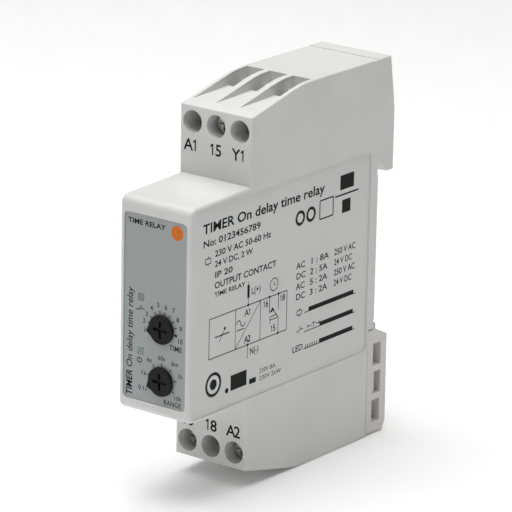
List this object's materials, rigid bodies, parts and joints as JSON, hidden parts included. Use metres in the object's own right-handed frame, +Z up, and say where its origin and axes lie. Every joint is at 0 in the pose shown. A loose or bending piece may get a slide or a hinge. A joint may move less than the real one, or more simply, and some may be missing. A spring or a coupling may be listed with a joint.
{
  "type": "din rail timer",
  "caption": "One-module delay timer for a 35 mm DIN rail: stepped light grey housing, two small dials, two indicator windows, screw terminals above and below, sliding rail latch.",
  "frame": {"origin": "middle of the rail seat: the flat on the housing's back that rests on the rail's front", "axes": "+Y out of the seat towards the rail, +Z up towards the hook, +X to the right of a person who faces the dials"},
  "size_m": [0.0178, 0.0677, 0.081],
  "materials": {
    "black_part": "moulded epoxy",
    "blue_part": "dipped epoxy",
    "board": "green solder mask",
    "bobbin": "natural nylon",
    "cage": "zinc plated",
    "can": "sleeved can",
    "copper": "enamelled copper wire",
    "dial": "moulded black",
    "film_part": "film capacitor case",
    "housing": "fine eroded texture",
    "iron": "nickel plated iron",
    "label": "printed film",
    "latch": "fine texture",
    "led": "chip lamp",
    "lens_output": "clear diffuser, grey",
    "lens_power": "clear diffuser, green grey",
    "pins": "gold plated",
    "relay_plastic": "moulded relay case",
    "resistor": "lacquered body",
    "screw": "zinc plated",
    "spring": "spring wire",
    "strip": "tin plated brass"
  },
  "bodies": {
    "housing": {"housing_shell": "housing", "side_cover": "housing", "front_label": "label", "time_pot": "blue_part", "range_switch": "blue_part", "led_output": "led", "guide_output": "lens_output", "led_power": "led", "guide_power": "lens_power", "latch_spring": "spring", "main_board": "board", "control_board": "board", "board_header": "black_part", "header_pins": "pins", "film_capacitor": "film_part", "bridge_rectifier": "black_part", "regulator": "black_part", "controller_chip": "black_part", "bulk_capacitor": "can", "small_capacitor": "can", "varistor": "blue_part", "fuse_resistor": "resistor", "resistors": "resistor", "diodes": "black_part", "relay_base": "relay_plastic", "relay_case": "relay_plastic", "contact_rest": "strip", "contact_work": "strip", "relay_bobbin": "bobbin", "relay_winding": "copper", "relay_core": "iron", "relay_yoke": "iron", "strip_a1": "strip", "strip_15": "strip", "strip_y1": "strip", "strip_16": "strip", "strip_18": "strip", "strip_a2": "strip"},
    "time_dial": {"time_knob": "dial", "time_wiper": "strip"},
    "range_dial": {"range_knob": "dial", "range_wiper": "strip"},
    "latch": {"rail_latch": "latch"},
    "armature": {"relay_armature": "iron"},
    "card": {"relay_card": "relay_plastic"},
    "leaf": {"relay_leaf": "strip"},
    "screw_a1": {"screw_a1": "screw"},
    "cage_a1": {"cage_a1": "cage"},
    "screw_15": {"screw_15": "screw"},
    "cage_15": {"cage_15": "cage"},
    "screw_y1": {"screw_y1": "screw"},
    "cage_y1": {"cage_y1": "cage"},
    "screw_16": {"screw_16": "screw"},
    "cage_16": {"cage_16": "cage"},
    "screw_18": {"screw_18": "screw"},
    "cage_18": {"cage_18": "cage"},
    "screw_a2": {"screw_a2": "screw"},
    "cage_a2": {"cage_a2": "cage"}
  },
  "joints": [
    {"name": "time_turn", "type": "hinge", "parent": "housing", "child": "time_dial", "pos_m": [0.00186, -0.062, -0.0036], "axis": [0, 1, 0], "range_deg": [0, 200]},
    {"name": "range_turn", "type": "hinge", "parent": "housing", "child": "range_dial", "pos_m": [0.00186, -0.062, -0.01438], "axis": [0, 1, 0], "range_deg": [0, 234]},
    {"name": "latch_slide", "type": "slide", "parent": "housing", "child": "latch", "axis": [0, 0, -1], "range_m": [0, 0.0035], "stiffness_N_per_m": 1500, "springref_m": -0.002, "deforming": ["latch_spring"]},
    {"name": "turn_a1", "type": "hinge", "parent": "housing", "child": "screw_a1", "pos_m": [-0.0059, -0.038, 0.0334], "axis": [0, 1, 0], "range_deg": [0, 1800]},
    {"name": "lift_a1", "type": "slide", "parent": "housing", "child": "cage_a1", "axis": [0, -1, 0], "range_m": [0, 0.0025]},
    {"name": "turn_15", "type": "hinge", "parent": "housing", "child": "screw_15", "pos_m": [0, -0.038, 0.0334], "axis": [0, 1, 0], "range_deg": [0, 1800]},
    {"name": "lift_15", "type": "slide", "parent": "housing", "child": "cage_15", "axis": [0, -1, 0], "range_m": [0, 0.0025]},
    {"name": "turn_y1", "type": "hinge", "parent": "housing", "child": "screw_y1", "pos_m": [0.0059, -0.038, 0.0334], "axis": [0, 1, 0], "range_deg": [0, 1800]},
    {"name": "lift_y1", "type": "slide", "parent": "housing", "child": "cage_y1", "axis": [0, -1, 0], "range_m": [0, 0.0025]},
    {"name": "turn_16", "type": "hinge", "parent": "housing", "child": "screw_16", "pos_m": [-0.0059, -0.038, -0.0334], "axis": [0, 1, 0], "range_deg": [0, 1800]},
    {"name": "lift_16", "type": "slide", "parent": "housing", "child": "cage_16", "axis": [0, -1, 0], "range_m": [0, 0.0025]},
    {"name": "turn_18", "type": "hinge", "parent": "housing", "child": "screw_18", "pos_m": [0, -0.038, -0.0334], "axis": [0, 1, 0], "range_deg": [0, 1800]},
    {"name": "lift_18", "type": "slide", "parent": "housing", "child": "cage_18", "axis": [0, -1, 0], "range_m": [0, 0.0025]},
    {"name": "turn_a2", "type": "hinge", "parent": "housing", "child": "screw_a2", "pos_m": [0.0059, -0.038, -0.0334], "axis": [0, 1, 0], "range_deg": [0, 1800]},
    {"name": "lift_a2", "type": "slide", "parent": "housing", "child": "cage_a2", "axis": [0, -1, 0], "range_m": [0, 0.0025]},
    {"name": "armature_tip", "type": "hinge", "parent": "housing", "child": "armature", "pos_m": [0.0062, -0.0114, 0.0025], "axis": [0, -1, 0], "range_deg": [0, 3.5]},
    {"name": "card_slide", "type": "slide", "parent": "housing", "child": "card", "axis": [0, 0, -1], "range_m": [0, 0.00035], "stiffness_N_per_m": 1500, "springref_m": -0.0006},
    {"name": "leaf_bend", "type": "hinge", "parent": "housing", "child": "leaf", "pos_m": [-0.0042, -0.0114, 0.008], "axis": [0, 1, 0], "range_deg": [0, 4.6]}
  ],
  "couplings": [
    {"joint": "turn_a1", "follows": "lift_a1", "rad_per_m": 12566},
    {"joint": "turn_15", "follows": "lift_15", "rad_per_m": 12566},
    {"joint": "turn_y1", "follows": "lift_y1", "rad_per_m": 12566},
    {"joint": "turn_16", "follows": "lift_16", "rad_per_m": 12566},
    {"joint": "turn_18", "follows": "lift_18", "rad_per_m": 12566},
    {"joint": "turn_a2", "follows": "lift_a2", "rad_per_m": 12566},
    {"joint": "armature_tip", "follows": "card_slide", "rad_per_m": 172.4},
    {"joint": "leaf_bend", "follows": "card_slide", "rad_per_m": 217.4}
  ]
}
